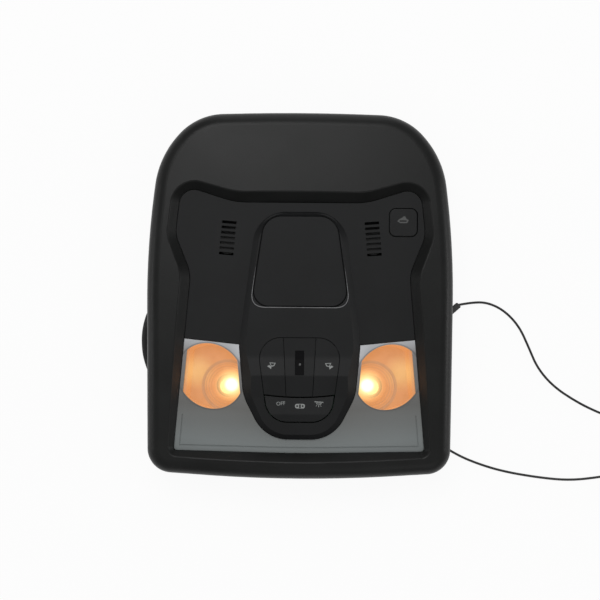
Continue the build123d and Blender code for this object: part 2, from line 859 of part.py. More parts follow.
with BuildPart() as mode_rocker:
    add(prism(rocker_shape, rocker_pivot_height - 1.5, crest_height))
    add(under_profile(rocker_profile, rocker_roundings, body_half_width), mode=Mode.INTERSECT)
    add(rocker_hollow.part, mode=Mode.SUBTRACT)
    for pin_end, body_end in (
        (rocker_head + pin_reach, rocker_head - key_wall / 2),
        (rocker_foot - pin_reach, rocker_foot + key_wall / 2),
    ):
        with Locations((0, (pin_end + body_end) / 2, rocker_pivot_height)):
            Cylinder(rocker_pin_radius, abs(pin_end - body_end), rotation=(90, 0, 0))
    with Locations((0, rocker_y, rocker_pivot_height - rocker_pin_radius)):
        Box(
            rocker_web,
            rocker_head - rocker_foot - key_wall,
            ridge_height - 1.0 - key_wall / 2 - rocker_pivot_height + rocker_pin_radius,
            align=(Align.CENTER, Align.CENTER, Align.MIN),
        )
    blade_foot = board_top + mode_switch_height - mode_slot_depth + blade_gap
    with Locations((0, rocker_y, blade_foot)):
        Box(
            blade_width,
            blade_depth,
            rocker_pivot_height - blade_foot,
            align=(Align.CENTER, Align.CENTER, Align.MIN),
        )
mode_rocker.part.label = "mode_rocker"
export_step(mode_rocker.part, "parts/mode_rocker.step")

# Roof button: a square cap in the panel's collar, kept in by a flange, over a switch on its own board
button_flange_top = panel_back - collar_depth - button_stop_gap
button_foot = button_flange_top - button_flange
button_inside = button_size - 2 * key_wall
button_brim = button_size + 2 * button_flange
with BuildPart() as roof_button:
    with BuildSketch(Plane.XY.offset(button_foot)):
        with Locations((button_x, button_y)):
            RectangleRounded(button_size, button_size, button_corner)
    extrude(amount=button_front - button_foot)
    fillet(roof_button.faces().sort_by(Axis.Z)[-1].edges(), button_edge_round)
    with BuildSketch(Plane.XY.offset(button_foot)):
        with Locations((button_x, button_y)):
            RectangleRounded(button_brim, button_brim, button_corner)
    extrude(amount=button_flange)
    with BuildSketch(Plane.XY.offset(button_foot)):
        with Locations((button_x, button_y)):
            RectangleRounded(button_inside, button_inside, button_corner - key_wall)
    extrude(amount=button_front - key_wall - button_foot, mode=Mode.SUBTRACT)
    button_plunger_foot = roof_board_top + switch_height + button_travel + switch_gap
    with Locations((button_x, button_y, button_plunger_foot)):
        Cylinder(
            post_radius,
            button_front - key_wall / 2 - button_plunger_foot,
            align=(Align.CENTER, Align.CENTER, Align.MIN),
        )
roof_button.part.label = "roof_button"
export_step(roof_button.part, "parts/roof_button.step")

with BuildPart() as roof_board:
    with BuildSketch(Plane.XY.offset(roof_board_top)):
        with Locations((button_x, button_y)):
            RectangleRounded(roof_board_width, roof_board_length, board_corner)
        with Locations(*roof_board_posts):
            Circle(stake_radius + stake_clearance, mode=Mode.SUBTRACT)
    extrude(amount=-board_thickness)
roof_board.part.label = "roof_board"
export_step(roof_board.part, "parts/roof_board.step")


def push_switch(x, y, base):
    """Small board switch: a square body with a round plunger on top."""
    with BuildPart() as body:
        with Locations((x, y, base)):
            Box(switch_size, switch_size, switch_body, align=(Align.CENTER, Align.CENTER, Align.MIN))
            Cylinder(switch_plunger_radius, switch_height, align=(Align.CENTER, Align.CENTER, Align.MIN))
    return body.part


for name, x, y, base in (
    ("left_switch", -plunger_x, plunger_y, board_top),
    ("right_switch", plunger_x, plunger_y, board_top),
    ("roof_switch", button_x, button_y, roof_board_top),
):
    with BuildPart() as push:
        add(push_switch(x, y, base))
    push.part.label = name
    export_step(push.part, f"parts/{name}.step")

# Circuit board with its mode switch, indicator and pin header
board_length = field_top - field_bottom + board_margin
board_middle_y = (field_top + field_bottom) / 2 - 3
board_post_x = board_half_width - board_post_inset
board_post_rise = board_length / 2 - board_post_inset
board_post_places = [
    (side * board_post_x, board_middle_y + end * board_post_rise) for side in (-1, 1) for end in (-1, 1)
]
with BuildPart() as circuit_board:
    with BuildSketch(Plane.XY.offset(board_height)):
        with Locations((0, board_middle_y)):
            RectangleRounded(2 * board_half_width, board_length, board_corner)
        with Locations(*board_post_places):
            Circle(stake_radius + stake_clearance, mode=Mode.SUBTRACT)
    extrude(amount=board_thickness)
circuit_board.part.label = "circuit_board"
export_step(circuit_board.part, "parts/circuit_board.step")

with BuildPart() as mode_switch:
    with Locations((0, rocker_y, board_top)):
        Box(
            mode_switch_width,
            mode_switch_depth,
            mode_switch_height,
            align=(Align.CENTER, Align.CENTER, Align.MIN),
        )
    with Locations((0, rocker_y, board_top + mode_switch_height)):
        Box(
            mode_slot_width,
            blade_depth + 1,
            mode_slot_depth,
            align=(Align.CENTER, Align.CENTER, Align.MAX),
            mode=Mode.SUBTRACT,
        )
mode_switch.part.label = "mode_switch"
export_step(mode_switch.part, "parts/mode_switch.step")

with BuildPart() as sensor_led:
    with Locations((0, window_y, board_top)):
        Box(3, 3, 0.8, align=(Align.CENTER, Align.CENTER, Align.MIN))
        Cylinder(1.2, 1.9, align=(Align.CENTER, Align.CENTER, Align.MIN))
sensor_led.part.label = "sensor_led"
export_step(sensor_led.part, "parts/sensor_led.step")

with BuildPart() as header:
    with Locations((0, header_y, board_height)):
        Box(header_width, header_depth, header_height, align=(Align.CENTER, Align.CENTER, Align.MAX))
    with Locations((0, header_y, board_height - header_height)):
        Box(
            header_width - 2.4,
            header_depth - 2.4,
            header_height - 2.5,
            align=(Align.CENTER, Align.CENTER, Align.MIN),
            mode=Mode.SUBTRACT,
        )
    with Locations((0, header_y, board_height - 2)):
        with GridLocations(2.5, 2.5, 6, 2):
            Box(0.64, 0.64, header_height - 4, align=(Align.CENTER, Align.CENTER, Align.MAX))
header.part.label = "header"
export_step(header.part, "parts/header.step")

# Reflectors: open cups with a flat floor, sloped sides and rings stepped down to the bulb
housing_floor_top = floor_height + housing_wall
edge_slope = (opening_half - waist_half) / (waist_y - opening_bottom - 0.021 * opening_half)
reflector_top = lens_back - reflector_gap
cup_flare = (reflector_top - reflector_floor) * tan(radians(reflector_slope))
cup_side_gap = opening_gap + skirt_wall + reflector_gap + reflector_wall + cup_flare


def edge_x(y):
    """Half width of the bezel opening below its waist."""
    return waist_half + (waist_y - y) * edge_slope


def cup(side, wall):
    """Outline of a reflector's inside at its floor, moved outwards by the wall."""
    cup_edge = wall - cup_side_gap
    with BuildSketch() as shape:
        with Locations((side * lens_window_x, lens_window_y)):
            Circle(lens_window_radius - cup_inset + wall)
        with Locations((side * bulb_x, bulb_y)):
            Circle(ring_radius + ring_margin + wall)
        make_hull()
        with BuildLine():
            Polyline(
                (0, bulb_y - cup_reach),
                (side * (edge_x(bulb_y - cup_reach) + cup_edge), bulb_y - cup_reach),
                (side * (edge_x(bulb_y + cup_reach) + cup_edge), bulb_y + cup_reach),
                (0, bulb_y + cup_reach),
                close=True,
            )
        make_face(mode=Mode.INTERSECT)
    return shape.sketch


def beside_tongue(side, wall):
    """Face that keeps a reflector's inside clear of the tongue, moved towards it by the wall."""
    near = [(x + cup_tongue_gap - wall, y) for x, y, rounding in tongue_corners[1:]]
    cup_top = bulb_y + cup_reach
    round_it = [(near[0][0], cup_top)] + near + [(body_half_width, tongue_bottom), (body_half_width, cup_top)]
    with BuildSketch() as shape:
        with BuildLine():
            Polyline(*[(side * x, y) for x, y in round_it], close=True)
        make_face()
    return shape.sketch


for name, side in (("left_reflector", -1), ("right_reflector", 1)):
    cup_depth = reflector_top - reflector_floor
    with BuildPart() as bowl:
        add(flared(cup(side, 0), reflector_floor, cup_depth, reflector_slope))
        for step in range(ring_steps):
            with Locations((side * bulb_x, bulb_y, reflector_floor - (step + 1) * ring_depth)):
                Cylinder(
                    ring_radius - step * ring_width,
                    cup_depth,
                    align=(Align.CENTER, Align.CENTER, Align.MIN),
                )
        add(prism(beside_tongue(side, 0), floor_height, panel_height), mode=Mode.INTERSECT)
    with BuildPart() as reflector:
        add(prism(cup(side, reflector_wall), housing_floor_top + seat_gap, reflector_floor))
        add(flared(cup(side, reflector_wall), reflector_floor, cup_depth, reflector_slope))
        add(prism(beside_tongue(side, reflector_wall), floor_height, panel_height), mode=Mode.INTERSECT)
        add(bowl.part, mode=Mode.SUBTRACT)
        with Locations((side * bulb_x, bulb_y, housing_floor_top)):
            Cylinder(
                holder_radius + holder_clearance,
                2 * reflector_floor,
                align=(Align.CENTER, Align.CENTER, Align.MIN),
                mode=Mode.SUBTRACT,
            )
            Cylinder(
                lug_radius + lug_clearance,
                lug_room,
                align=(Align.CENTER, Align.CENTER, Align.MIN),
                mode=Mode.SUBTRACT,
            )
    reflector.part.label = name
    export_step(reflector.part, f"parts/{name}.step")

# Bulbs with a flat wedge base, each in a twist-lock holder that locks behind the housing floor
bulb_base_height = rear_wall + holder_gap + holder_base
bulb_shoulder = bulb_base_height + 7.0
bulb_tip = lens_back - bulb_tip_gap
bulb_length = bulb_tip - bulb_base_height
base_width = 2 * bulb_radius - 0.6
for hand, side in (("left", -1), ("right", 1)):
    bulb_place = Plane((side * bulb_x, bulb_y, 0), x_dir=(1, 0, 0), z_dir=(0, -1, 0))
    with BuildPart() as bulb:
        with BuildSketch(bulb_place):
            with BuildLine():
                Polyline(
                    (0, bulb_shoulder),
                    (bulb_radius - 0.8, bulb_shoulder),
                    (bulb_radius, bulb_shoulder + 2),
                    (bulb_radius, bulb_tip - bulb_radius),
                )
                RadiusArc((bulb_radius, bulb_tip - bulb_radius), (0, bulb_tip), -bulb_radius)
                Line((0, bulb_tip), (0, bulb_shoulder))
            make_face()
        revolve(axis=Axis((side * bulb_x, bulb_y, 0), (0, 0, 1)))
        with Locations((side * bulb_x, bulb_y, bulb_base_height)):
            Box(
                base_width,
                base_thickness,
                bulb_shoulder + 1 - bulb_base_height,
                align=(Align.CENTER, Align.CENTER, Align.MIN),
            )
    bulb.part.label = f"{hand}_bulb"
    export_step(bulb.part, f"parts/{hand}_bulb.step")

    with BuildPart() as holder:
        with Locations((side * bulb_x, bulb_y, bulb_base_height - holder_base)):
            Cylinder(
                holder_radius,
                holder_top - bulb_base_height + holder_base,
                align=(Align.CENTER, Align.CENTER, Align.MIN),
            )
        with Locations((side * bulb_x, bulb_y, floor_height - seat_gap)):
            Cylinder(holder_flange_radius, holder_flange, align=(Align.CENTER, Align.CENTER, Align.MAX))
        with Locations((side * bulb_x, bulb_y, housing_floor_top + seat_gap)):
            Box(
                2 * lug_radius - 0.5,
                lug_width,
                lug_height,
                align=(Align.CENTER, Align.CENTER, Align.MIN),
            )
        with Locations((side * bulb_x, bulb_y, bulb_base_height - seat_gap)):
            Box(
                base_width + 2 * holder_clearance,
                base_thickness + 2 * holder_clearance,
                bulb_length,
                align=(Align.CENTER, Align.CENTER, Align.MIN),
                mode=Mode.SUBTRACT,
            )
        with Locations((side * bulb_x, bulb_y, bulb_shoulder - seat_gap)):
            Cylinder(
                bulb_radius + holder_clearance,
                bulb_length,
                align=(Align.CENTER, Align.CENTER, Align.MIN),
                mode=Mode.SUBTRACT,
            )
    holder.part.label = f"{hand}_bulb_holder"
    export_step(holder.part, f"parts/{hand}_bulb_holder.step")

# Microphones in soft boots, in the panel's collars behind the slot grilles
for hand, place in (("left", mic_places[0]), ("right", mic_places[1])):
    with BuildPart() as boot:
        with BuildSketch(Plane.XY.offset(panel_back - seat_gap)):
            with Locations(place):
                Circle(boot_radius)
        extrude(amount=-boot_depth)
        with BuildSketch(Plane.XY.offset(panel_back - seat_gap)):
            with Locations(place):
                Circle(mic_radius + stake_clearance)
        extrude(amount=-boot_depth + skirt_wall, mode=Mode.SUBTRACT)
    boot.part.label = f"{hand}_mic_boot"
    export_step(boot.part, f"parts/{hand}_mic_boot.step")

    with BuildPart() as microphone:
        with BuildSketch(Plane.XY.offset(panel_back - seat_gap - boot_depth + skirt_wall)):
            with Locations(place):
                Circle(mic_radius)
        extrude(amount=mic_height)
    microphone.part.label = f"{hand}_microphone"
    export_step(microphone.part, f"parts/{hand}_microphone.step")

# Lamp housing: a tub that closes on the panel and lens flanges, with screw ears, posts and bulb holes
housing_outline = outline(opening_corners, housing_reach)
housing_rim = flange_bottom - seat_gap
ear_top = boss_bottom - seat_gap
cover_screw_places = [
    (side * (opening_half - inset), y)
    for side in (-1, 1)
    for inset, y in ((cover_screw_inset, cover_screw_top_y), (cover_foot_inset, cover_screw_foot_y))
]
with BuildPart() as lamp_housing:
    add(prism(housing_outline, floor_height, housing_floor_top))
    housing_inside = outline(opening_corners, housing_reach - housing_wall)
    add(prism(housing_outline - housing_inside, floor_height, housing_rim))
    with BuildSketch(Plane.XY.offset(ear_top)):
        for x, y in boss_places[:2]:
            inner_x = (edge_x(y) + housing_reach - housing_wall / 2) * (1 if x > 0 else -1)
            outer_x = x + boss_radius * (1 if x > 0 else -1)
            with Locations(((inner_x + outer_x) / 2, y)):
                Rectangle(abs(outer_x - inner_x), 2 * boss_radius)
        for x, y in boss_places[2:]:
            inner_y = opening_top + housing_reach - housing_wall / 2
            with Locations((x, (inner_y + y + boss_radius) / 2)):
                Rectangle(2 * boss_radius, y + boss_radius - inner_y)
    extrude(amount=-ear_plate)
    with BuildSketch(Plane.XY.offset(floor_height)):
        with Locations(*cover_screw_places):
            Circle(boss_radius)
    extrude(amount=cover_boss_height)
    with BuildSketch(Plane.XY.offset(housing_floor_top)):
        with Locations(*board_post_places):
            Circle(post_radius)
    extrude(amount=board_height - housing_floor_top)
    with BuildSketch(Plane.XY.offset(board_height)):
        with Locations(*board_post_places):
            Circle(stake_radius)
    extrude(amount=board_thickness + stake_height)
    with BuildSketch(Plane.XY.offset(floor_height)):
        with Locations((-bulb_x, bulb_y), (bulb_x, bulb_y)):
            Circle(holder_radius + holder_clearance)
            Rectangle(2 * lug_radius, lug_width + 0.6)
        with Locations((0, header_y)):
            Rectangle(header_width + 1, header_depth + 1)
        with Locations(*cover_screw_places):
            Circle(screw_radius + screw_clearance)
    extrude(amount=cover_boss_height - blind_wall, mode=Mode.SUBTRACT)
    with BuildSketch(Plane.XY.offset(ear_top)):
        with Locations(*boss_places):
            Circle(screw_radius + screw_clearance)
    extrude(amount=-ear_plate, mode=Mode.SUBTRACT)
lamp_housing.part.label = "lamp_housing"
export_step(lamp_housing.part, "parts/lamp_housing.step")

# Rear cover: a shallow tub that the part lies on, with screw bosses, grommet holes and a slanted outlet
rear_outline = outline(opening_corners, -rear_inset, rear_round)
rear_inside = outline(opening_corners, -rear_inset - rear_wall, rear_round - rear_wall)
rear_top = floor_height - seat_gap
plug_plane = Plane((plug_end_x, plug_end_y, plug_height)).rotated((0, 0, plug_angle))
grommet_places = [(-1, harness_top_y), (-1, harness_foot_y), (1, lower_lead_y)]


def rear_x(y):
    """Outer half width of the rear cover below its waist."""
    return edge_x(y) - rear_inset


with BuildPart() as rear_cover:
    add(prism(rear_outline, 0, rear_top))
    chamfer(rear_cover.faces().sort_by(Axis.Z)[0].edges(), rear_chamfer)
    add(prism(rear_inside, rear_wall, rear_top), mode=Mode.SUBTRACT)
    with BuildSketch(Plane.XY.offset(rear_wall / 2)):
        with Locations(*cover_screw_places):
            Circle(boss_radius)
    extrude(amount=rear_top - rear_wall / 2)
    with Locations(plug_plane):
        with Locations((-(outlet_length + plug_bare) / 2 - plug_bare / 2, 0, 0)):
            Box(outlet_length, plug_width + 2 * outlet_wall, plug_depth + 2 * outlet_wall)
        with Locations((-plug_bare, 0, 0)):
            Box(
                plug_length,
                plug_width + 2 * plug_clearance,
                plug_depth + 2 * plug_clearance,
                align=(Align.CENTER, Align.CENTER, Align.CENTER),
                mode=Mode.SUBTRACT,
            )
        with Locations((-plug_bare, 0, 0)):
            Cylinder(
                wire_diameter,
                2 * outlet_length + 4,
                rotation=(0, 90, 0),
                mode=Mode.SUBTRACT,
            )
    for x, y in cover_screw_places:
        with Locations((x, y, 0)):
            Cylinder(
                screw_radius + screw_clearance,
                3 * rear_top,
                mode=Mode.SUBTRACT,
            )
            Cylinder(
                screw_head_radius + screw_head_clearance,
                2 * (screw_head_height + screw_sink),
                mode=Mode.SUBTRACT,
            )
    for side, y in grommet_places:
        with Locations((side * rear_x(y), y, grommet_height)):
            Cylinder(
                grommet_neck + stake_clearance,
                6 * rear_wall,
                rotation=(0, 90, 0),
                mode=Mode.SUBTRACT,
            )
rear_cover.part.label = "rear_cover"
export_step(rear_cover.part, "parts/rear_cover.step")

# Fasteners: pan-head screws, and spring-steel clips folded over the towers
ear_bottom = ear_top - ear_plate
cover_screw_end = floor_height + cover_boss_height - blind_wall - screw_end_gap
cover_screw_seat = screw_sink + screw_head_height
housing_screw_end = boss_bottom + screw_depth - screw_end_gap
for name, places, seat, end in (
    ("housing_screws", boss_places, ear_bottom, housing_screw_end),
    ("cover_screws", cover_screw_places, cover_screw_seat, cover_screw_end),
):
    with BuildPart() as screws:
        with Locations(*[(x, y, seat) for x, y in places]):
            Cylinder(screw_head_radius, screw_head_height, align=(Align.CENTER, Align.CENTER, Align.MAX))
            Cylinder(screw_radius, end - seat, align=(Align.CENTER, Align.CENTER, Align.MIN))
        fillet(screws.faces().group_by(Axis.Z)[0].edges(), screw_head_round)
    screws.part.label = name
    export_step(screws.part, f"parts/{name}.step")

clip_half = tower_thickness / 2 + clip_gap + clip_thickness / 2
clip_bottom = tower_bottom - clip_gap - clip_thickness / 2
with BuildPart() as roof_clips:
    for x, y in tower_places:
        with BuildSketch(Plane((x, y + clip_width / 2, clip_bottom), x_dir=(1, 0, 0), z_dir=(0, -1, 0))):
            with BuildLine():
                FilletPolyline(
                    (-clip_spread, clip_reach),
                    (-clip_half, clip_grip),
                    (-clip_half, 0),
                    (clip_half, 0),
                    (clip_half, clip_grip),
                    (clip_spread, clip_reach),
                    radius=clip_bend,
                )
            trace(line_width=clip_thickness)
        extrude(amount=clip_width)
roof_clips.part.label = "roof_clips"
export_step(roof_clips.part, "parts/roof_clips.step")

# Plug pushed into the slanted outlet
with BuildPart() as lead_plug:
    with BuildSketch(Plane(plug_plane.origin, x_dir=(0, 0, 1), z_dir=-plug_plane.x_dir)):
        Rectangle(plug_depth, plug_width)
    extrude(amount=plug_length)
    chamfer(lead_plug.edges(), plug_chamfer)
lead_plug.part.label = "lead_plug"
export_step(lead_plug.part, "parts/lead_plug.step")


# Rubber grommets in the rear cover's side walls, bored for their wires
def grommet(side, y, bore):
    """Flanged bush along X through a side wall of the rear cover."""
    wall = rear_x(y)
    flange_x = wall + grommet_stand
    with BuildPart() as body:
        with BuildSketch(Plane((side * flange_x, y, grommet_height), z_dir=(side, 0, 0))):
            Circle(grommet_flange)
        extrude(amount=grommet_thickness)
        with BuildSketch(Plane((side * flange_x, y, grommet_height), z_dir=(-side, 0, 0))):
            Circle(grommet_neck)
        extrude(amount=grommet_stand + rear_wall + grommet_thickness)
        with Locations((side * wall, y, grommet_height)):
            Cylinder(bore + stake_clearance, 8 * rear_wall, rotation=(0, 90, 0), mode=Mode.SUBTRACT)
    return body.part


with BuildPart() as harness_grommets:
    for side, y in grommet_places[:2]:
        add(grommet(side, y, harness_diameter / 2))
harness_grommets.part.label = "harness_grommets"
export_step(harness_grommets.part, "parts/harness_grommets.step")

with BuildPart() as lower_grommet:
    add(grommet(1, lower_lead_y, wire_diameter / 2))
lower_grommet.part.label = "lower_grommet"
export_step(lower_grommet.part, "parts/lower_grommet.step")


# Wires: tubes of straight runs and tangent arcs, the unseen length of each lead wound in a tied coil
def grommet_end(side, y):
    """Where a wire starts, at the inner end of its grommet."""
    return (side * (rear_x(y) - rear_wall - grommet_thickness), y, grommet_height)


def tube(name, points, diameter):
    """Round tube along the points, with each bend as large as its two runs allow."""
    places = [Vector(*point) for point in points]
    radii = []
    for before, here, after in zip(places, places[1:], places[2:]):
        shorter = min((here - before).length, (after - here).length)
        turn = radians((here - before).get_angle(after - here))
        radii.append(0.45 * shorter / tan(turn / 2))
    with BuildPart() as body:
        with BuildLine():
            run = FilletPolyline(*points, radius=radii)
        with BuildSketch(Plane(run @ 0, z_dir=run % 0)):
            Circle(diameter / 2)
        sweep()
    filled = body.part.volume / (pi * diameter**2 / 4 * run.length)
    bends = [round(radius) for radius in radii]
    print(name, "length", round(run.length, 1), "radii", bends, "filled", round(filled, 4))
    return body.part


harness_route = [
    grommet_end(-1, harness_top_y),
    (21.5 - body_half_width, harness_top_y, grommet_height),
    (8.5 - body_half_width, -1.0, grommet_height),
    (0.2 - body_half_width, -11.5, grommet_height),
    (-3.2 - body_half_width, -25.0, grommet_height),
    (-2.6 - body_half_width, -40.0, grommet_height),
    (2.5 - body_half_width, -54.0, grommet_height),
    (14.0 - body_half_width, harness_foot_y, grommet_height),
    grommet_end(-1, harness_foot_y),
]
upper_route = [
    (plug_end_x - 1.0, -5.2, 6.7),
    (plug_end_x + 9.5, -3.2, 3.2),
    (plug_end_x + 20.0, -3.4, 0.9),
    (plug_end_x + 31.0, -8.6, 0.9),
    (plug_end_x + 41.0, -19.0, 0.9),
    (plug_end_x + 47.5, -33.0, 0.9),
    (plug_end_x + 53.5, -47.0, 0.9),
    (plug_end_x + 64.5, -59.5, 0.9),
    (plug_end_x + 80.0, -69.5, 0.9),
    (plug_end_x + 92.5, -75.6, 0.9),
    (plug_end_x + 104.0, -80.0, 0.9),
]
lower_route = [
    grommet_end(1, lower_lead_y),
    (body_half_width - 15.5, lower_lead_y, grommet_height),
    (body_half_width - 6.0, -97.8, 3.2),
    (body_half_width + 4.5, -104.8, 1.0),
    (body_half_width + 17.5, -110.6, 0.9),
    (body_half_width + 36.0, -116.3, 0.9),
    (body_half_width + 60.0, -120.3, 0.9),
    (body_half_width + 81.5, -122.2, 0.9),
    (body_half_width + 102.0, -119.8, 0.9),
    (body_half_width + 113.0, -117.4, 0.9),
]

with BuildPart() as harness:
    add(tube("harness", harness_route, harness_diameter))
harness.part.label = "harness"
export_step(harness.part, "parts/harness.step")

coil_top = coil_height + (coil_turns + 1) * wire_diameter
for hand, points, wound, tie_angle in (("upper", upper_route, 1, 115), ("lower", lower_route, -1, -120)):
    with BuildPart() as lead:
        add(tube(f"{hand}_lead", points, wire_diameter))
    lead.part.label = f"{hand}_lead"
    export_step(lead.part, f"parts/{hand}_lead.step")

    entry = Vector(*points[-1])
    heading = Vector(entry.X - points[-2][0], entry.Y - points[-2][1], 0).normalized()
    centre = entry + heading.rotate(Axis.Z, 90 * wound) * coil_radius
    with BuildPart() as coil:
        with BuildSketch(Plane((centre.X, centre.Y, coil_height))):
            Circle(coil_radius + wire_diameter / 2)
            Circle(coil_radius - wire_diameter / 2, mode=Mode.SUBTRACT)
        extrude(amount=coil_top - coil_height)
    coil.part.label = f"{hand}_coil"
    export_step(coil.part, f"parts/{hand}_coil.step")

    coil_middle = (coil_height + coil_top) / 2
    tie_plane = Plane((centre.X, centre.Y, coil_middle)).rotated((0, 0, tie_angle))
    tie_room_across = wire_diameter + 2 * tie_gap
    tie_room_up = coil_top - coil_height + 2 * tie_gap
    with BuildPart() as tie:
        with BuildSketch(Plane(tie_plane.origin, x_dir=tie_plane.x_dir, z_dir=tie_plane.y_dir)):
            with Locations((coil_radius, 0)):
                Rectangle(tie_room_across + 2 * tie_thickness, tie_room_up + 2 * tie_thickness)
                Rectangle(tie_room_across, tie_room_up, mode=Mode.SUBTRACT)
        extrude(amount=tie_width / 2, both=True)
    tie.part.label = f"{hand}_tie"
    export_step(tie.part, f"parts/{hand}_tie.step")

    terminal_lift = Vector(0, 0, terminal_depth / 2 + tie_gap / 2 - entry.Z)
    tail_heading = heading.rotate(Axis.Z, 360 * coil_turns * wound)
    tail_start = centre + (entry - centre).rotate(Axis.Z, 360 * coil_turns * wound)
    tail_points = [
        (tail_start.X, tail_start.Y, coil_top - wire_diameter / 2),
        tuple(tail_start + tail_heading * tail_slope + terminal_lift),
        tuple(tail_start + tail_heading * tail_length + terminal_lift),
    ]
    with BuildPart() as tail:
        add(tube(f"{hand}_tail", tail_points, wire_diameter))
    tail.part.label = f"{hand}_tail"
    export_step(tail.part, f"parts/{hand}_tail.step")

    with BuildPart() as terminal:
        with BuildSketch(Plane(tail_points[-1], x_dir=(0, 0, 1), z_dir=tail_heading)):
            Rectangle(terminal_depth, terminal_width)
        extrude(amount=terminal_length)
        chamfer(terminal.faces().sort_by(Axis(tail_points[-1], tail_heading))[-1].edges(), plug_chamfer)
    terminal.part.label = f"{hand}_terminal"
    export_step(terminal.part, f"parts/{hand}_terminal.step")
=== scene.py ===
"""Car dome light on its back: finishes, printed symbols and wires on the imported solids, in metres."""

import math

import bpy
from mathutils import Matrix, Vector


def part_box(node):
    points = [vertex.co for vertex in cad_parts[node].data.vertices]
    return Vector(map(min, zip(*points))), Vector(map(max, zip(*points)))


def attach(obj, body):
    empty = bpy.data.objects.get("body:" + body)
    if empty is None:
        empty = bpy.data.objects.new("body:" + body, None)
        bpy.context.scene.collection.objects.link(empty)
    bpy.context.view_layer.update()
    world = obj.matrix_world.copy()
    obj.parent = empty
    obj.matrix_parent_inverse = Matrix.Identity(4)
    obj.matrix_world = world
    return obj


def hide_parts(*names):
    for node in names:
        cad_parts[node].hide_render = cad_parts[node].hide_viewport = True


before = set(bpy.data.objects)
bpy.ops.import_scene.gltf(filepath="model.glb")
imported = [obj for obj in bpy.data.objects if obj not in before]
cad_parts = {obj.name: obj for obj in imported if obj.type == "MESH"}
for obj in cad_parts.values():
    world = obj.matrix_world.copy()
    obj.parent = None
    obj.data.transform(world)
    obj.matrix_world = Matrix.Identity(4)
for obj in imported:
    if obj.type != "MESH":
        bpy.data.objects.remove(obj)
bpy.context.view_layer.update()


# Rear cover, lamp housing and key carrier: injection-moulded black polypropylene, plain satin with
# faint flow marks. The cover is screwed to the housing, and the carrier stands inside on its posts.
class Shade:
    """One socket of a finish's nodes, which Python's arithmetic works on."""

    def __init__(self, tree, socket=None):
        self.tree = tree
        self.socket = socket

    def node(self, kind, settings, inputs, output=0):
        """A new node's output: its settings are set first, then each input gets its value or link."""
        made = self.tree.nodes.new(kind)
        for name, value in settings.items():
            if name == "stops":
                while len(made.color_ramp.elements) < len(value):
                    made.color_ramp.elements.new(0.5)
                for element, (place, colour) in zip(made.color_ramp.elements, value):
                    element.position = place
                    element.color = (*colour, 1)
            else:
                setattr(made, name, value)
        for name, value in inputs.items():
            if isinstance(value, Shade):
                self.tree.links.new(value.socket, made.inputs[name])
            else:
                made.inputs[name].default_value = value
        return Shade(self.tree, made.outputs[output])

    def maths(self, operation, *values):
        """What an operation of the maths node makes of the values."""
        return self.node("ShaderNodeMath", {"operation": operation}, dict(enumerate(values)))

    def __add__(self, other):
        return self.maths("ADD", self, other)

    def __sub__(self, other):
        return self.maths("SUBTRACT", self, other)

    def __rsub__(self, other):
        return self.maths("SUBTRACT", other, self)

    def __mul__(self, other):
        return self.maths("MULTIPLY", self, other)

    def __truediv__(self, other):
        return self.maths("DIVIDE", self, other)

    __radd__ = __add__
    __rmul__ = __mul__

    def ramp(self, low, high):
        """0 below the low value and 1 above the high one, eased between them."""
        settings = {"interpolation_type": "SMOOTHSTEP"}
        inputs = {"Value": self, "From Min": low, "From Max": high}
        return self.node("ShaderNodeMapRange", settings, inputs)

    def blend(self, first, second):
        """Colour that goes from the first to the second as this value goes from 0 to 1."""
        inputs = {"Factor": self}
        for socket, colour in ((6, first), (7, second)):
            inputs[socket] = colour if isinstance(colour, Shade) else (*colour, 1)
        return self.node("ShaderNodeMix", {"data_type": "RGBA"}, inputs, output=2)

    def feed(self, shader, socket):
        """Links this value to a socket of a shader."""
        self.tree.links.new(self.socket, shader.inputs[socket])


def new_finish(name, colour, roughness, **fixed):
    """A material with one shader, that shader, and where its expressions start from."""
    material = bpy.data.materials.new(name)
    material.use_nodes = True
    shader = material.node_tree.nodes["Principled BSDF"]
    shader.inputs["Base Color"].default_value = (*colour, 1)
    shader.inputs["Roughness"].default_value = roughness
    for socket, value in fixed.items():
        shader.inputs[socket.replace("_", " ")].default_value = value
    return material, shader, Shade(material.node_tree)


def noise(start, size, detail=2.0):
    """Noise fixed to the piece, with blotches of about the given size."""
    place = start.node("ShaderNodeTexCoord", {}, {}, output=3)
    return start.node("ShaderNodeTexNoise", {}, {"Vector": place, "Scale": 1 / size, "Detail": detail})


def bumped(shader, height, depth):
    """Bump of the given depth in metres on a finish's shader."""
    bump = height.node("ShaderNodeBump", {}, {"Height": height, "Distance": depth, "Strength": 1.0})
    bump.feed(shader, "Normal")


def moulded(name, colour, roughness, grain, depth, tint=0.25, shine=0.5):
    """Moulded plastic: an even grain, slow changes of tone and a gloss that varies a little."""
    material, shader, start = new_finish(name, colour, roughness, Specular_IOR_Level=shine)
    slow = noise(start, 0.03)
    fine = noise(start, grain, detail=3.0)
    lighter = tuple(channel * (1 + tint) for channel in colour)
    darker = tuple(channel * (1 - tint) for channel in colour)
    (slow * 0.6 + fine * 0.4).ramp(0.3, 0.7).blend(darker, lighter).feed(shader, "Base Color")
    (slow * 0.12 + fine * 0.1 + (roughness - 0.11)).feed(shader, "Roughness")
    bumped(shader, fine, depth)
    return material


def dress(material, *nodes):
    """Gives a finish to solids of the frame."""
    for node in nodes:
        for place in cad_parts[node].material_slots:
            place.material = material


housing_plastic = moulded("housing_plastic", (0.018, 0.018, 0.019), 0.5, 0.004, 0.00002)
dress(housing_plastic, "rear_cover", "lamp_housing", "key_carrier")

